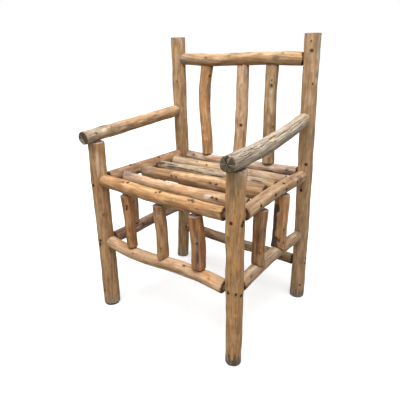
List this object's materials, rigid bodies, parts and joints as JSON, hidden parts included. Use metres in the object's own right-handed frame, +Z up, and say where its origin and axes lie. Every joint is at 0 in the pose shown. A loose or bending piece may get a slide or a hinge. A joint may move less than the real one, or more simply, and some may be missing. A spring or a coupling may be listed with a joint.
{
  "type": "rustic twig armchair",
  "caption": "Rustic armchair of round peeled branches: leaning posts, spindled back, slatted seat, sloping arms and stretchers, with round tenons locked by nails.",
  "frame": {"origin": "middle of the chair's bounding box, on the floor", "axes": "+Z up, -Y the way the sitter faces, +X to the right as seen from the front"},
  "size_m": [0.5878, 0.5067, 0.8965],
  "materials": {
    "peeled_wood": "honey-brown peeled branches under a thin satin varnish, with knots and darker streaks",
    "weathered_wood": "grey-brown weathered branches with drying checks, satin",
    "barky_wood": "branches with strips of thin dark inner bark left on, satin",
    "nail_iron": "dark dull iron nail heads"
  },
  "bodies": {
    "root": {"front_left_post": "peeled_wood", "front_right_post": "peeled_wood", "rear_left_post": "peeled_wood", "rear_right_post": "peeled_wood", "left_arm": "weathered_wood", "right_arm": "weathered_wood", "crest_rail": "peeled_wood", "front_seat_rail": "peeled_wood", "rear_seat_rail": "peeled_wood", "left_seat_rail": "peeled_wood", "right_seat_rail": "peeled_wood", "front_stretcher": "peeled_wood", "rear_stretcher": "weathered_wood", "left_stretcher": "barky_wood", "right_stretcher": "weathered_wood", "seat_slat_1": "peeled_wood", "seat_slat_2": "peeled_wood", "seat_slat_3": "barky_wood", "seat_slat_4": "peeled_wood", "back_spindle_1": "peeled_wood", "back_spindle_2": "peeled_wood", "back_spindle_3": "peeled_wood", "front_lower_spindle_1": "peeled_wood", "front_lower_spindle_2": "peeled_wood", "front_lower_spindle_3": "peeled_wood", "right_lower_spindle_1": "peeled_wood", "right_lower_spindle_2": "barky_wood", "left_lower_spindle_1": "peeled_wood", "left_lower_spindle_2": "peeled_wood", "post_nails": "nail_iron", "rail_nails": "nail_iron", "slat_nails": "nail_iron"}
  },
  "joints": []
}
